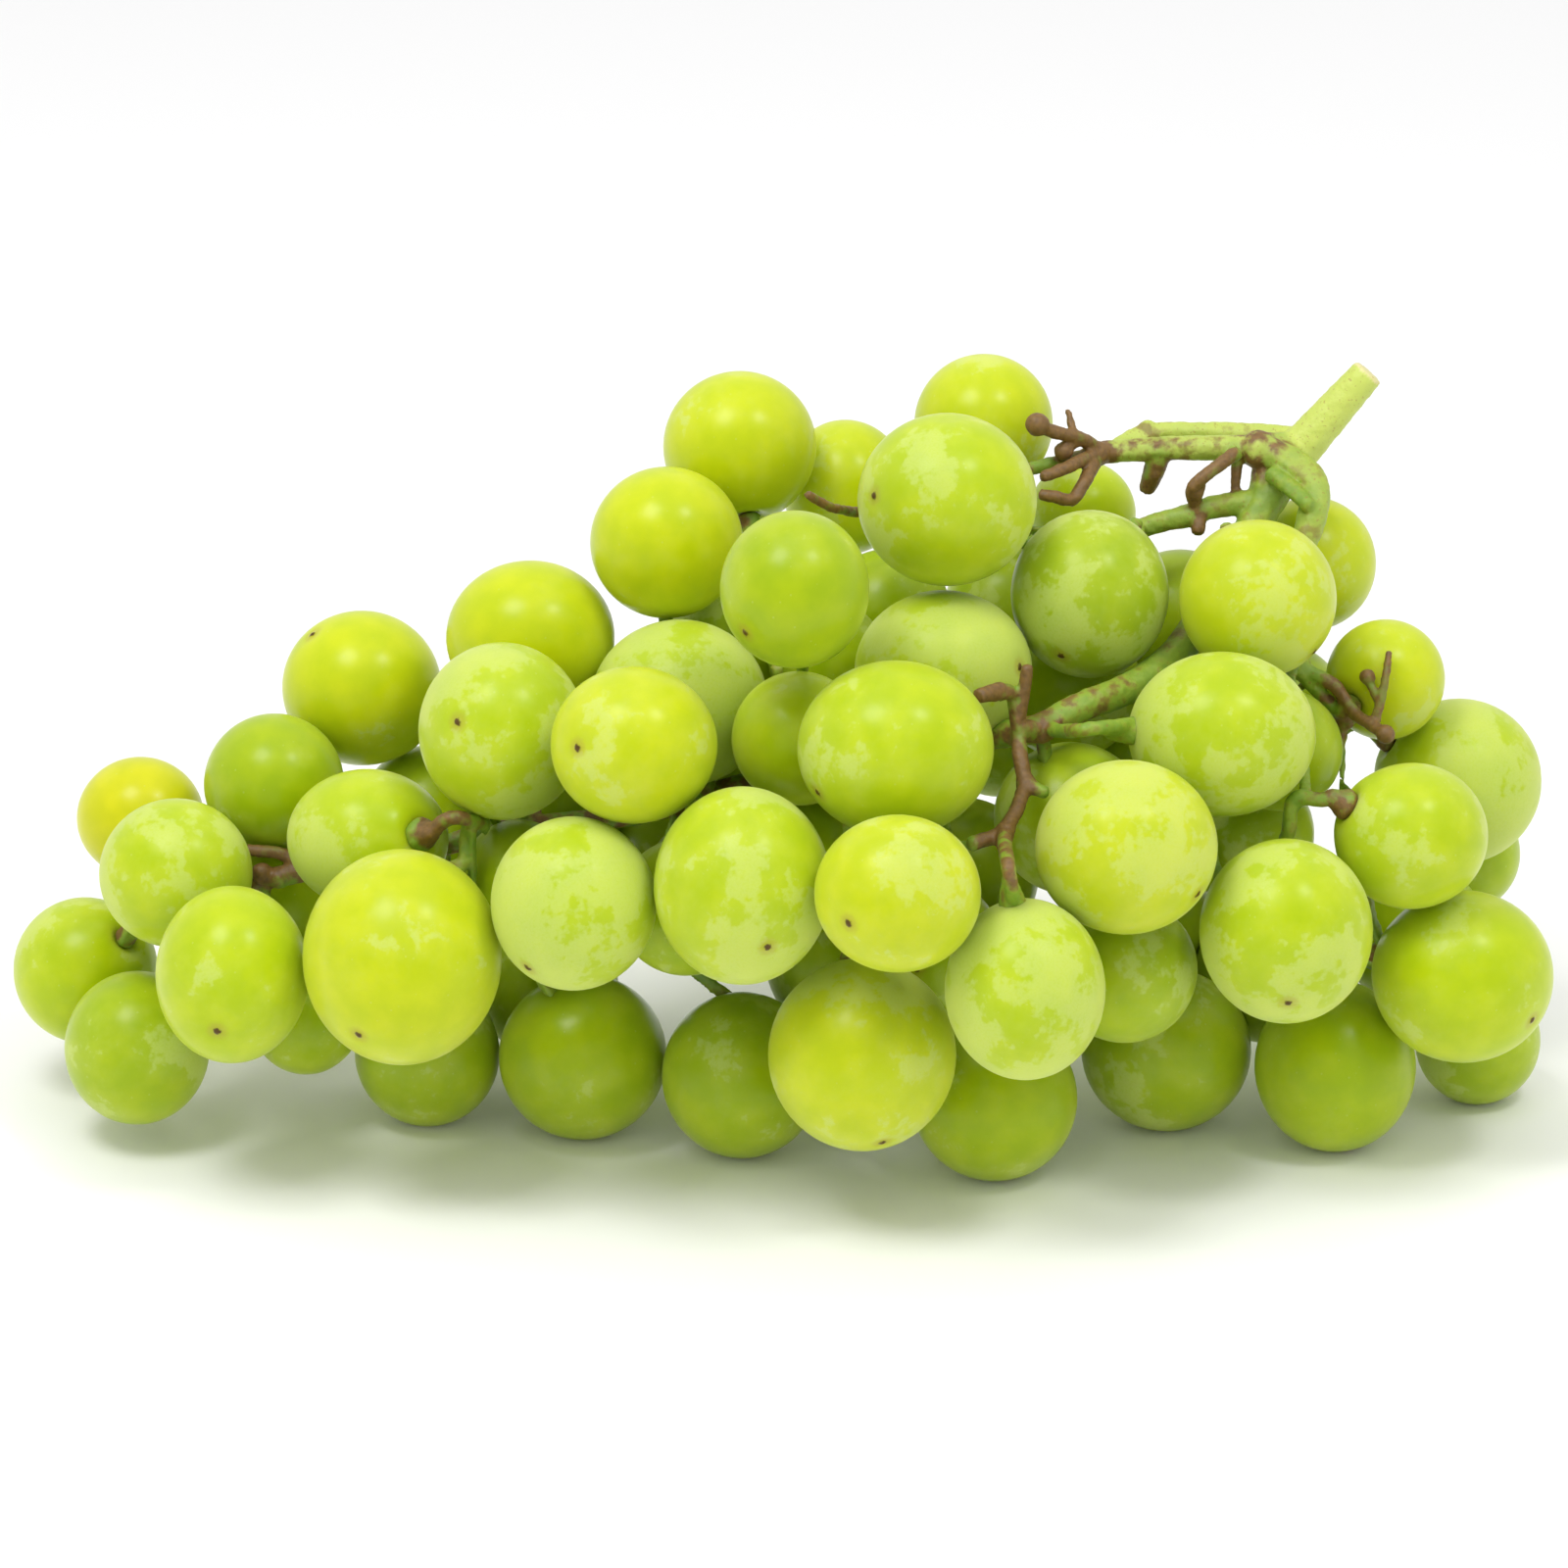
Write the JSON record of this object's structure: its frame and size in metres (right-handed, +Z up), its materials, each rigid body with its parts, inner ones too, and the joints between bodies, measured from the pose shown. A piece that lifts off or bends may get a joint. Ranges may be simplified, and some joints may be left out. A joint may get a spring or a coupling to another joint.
{
  "type": "bunch of grapes",
  "caption": "Bunch of large green table grapes lying on its side, with its cut branched stalk showing at the upper end.",
  "frame": {"origin": "middle of the bunch's outline on the surface that it lies on", "axes": "+X along the bunch towards the cut end of the stalk, +Y away from the side shown in the picture, +Z up"},
  "size_m": [0.2066, 0.1038, 0.0982],
  "materials": {
    "berry_skin": "smooth translucent green skin with a patchy pale waxy bloom",
    "stalk": "pale green bark, woody brown at the nodes and dry twigs"
  },
  "bodies": {
    "root": {"stalk": "stalk", "berry_01": "berry_skin", "berry_02": "berry_skin", "berry_03": "berry_skin", "berry_04": "berry_skin", "berry_05": "berry_skin", "berry_06": "berry_skin", "berry_07": "berry_skin", "berry_08": "berry_skin", "berry_09": "berry_skin", "berry_10": "berry_skin", "berry_11": "berry_skin", "berry_12": "berry_skin", "berry_13": "berry_skin", "berry_14": "berry_skin", "berry_15": "berry_skin", "berry_16": "berry_skin", "berry_17": "berry_skin", "berry_18": "berry_skin", "berry_19": "berry_skin", "berry_20": "berry_skin", "berry_21": "berry_skin", "berry_22": "berry_skin", "berry_23": "berry_skin", "berry_24": "berry_skin", "berry_25": "berry_skin", "berry_clump_26": "berry_skin", "berry_27": "berry_skin", "berry_28": "berry_skin", "berry_29": "berry_skin", "berry_30": "berry_skin", "berry_31": "berry_skin", "berry_32": "berry_skin", "berry_33": "berry_skin", "berry_34": "berry_skin", "berry_35": "berry_skin", "berry_36": "berry_skin", "berry_37": "berry_skin", "berry_38": "berry_skin", "berry_39": "berry_skin", "berry_clump_40": "berry_skin", "berry_41": "berry_skin", "berry_clump_42": "berry_skin", "berry_43": "berry_skin", "berry_44": "berry_skin", "berry_clump_45": "berry_skin", "berry_46": "berry_skin", "berry_clump_47": "berry_skin", "berry_48": "berry_skin", "berry_clump_49": "berry_skin", "berry_clump_50": "berry_skin", "berry_clump_51": "berry_skin", "berry_52": "berry_skin", "berry_53": "berry_skin", "berry_54": "berry_skin", "berry_clump_55": "berry_skin", "berry_clump_56": "berry_skin", "berry_clump_57": "berry_skin", "berry_clump_58": "berry_skin"}
  },
  "joints": []
}
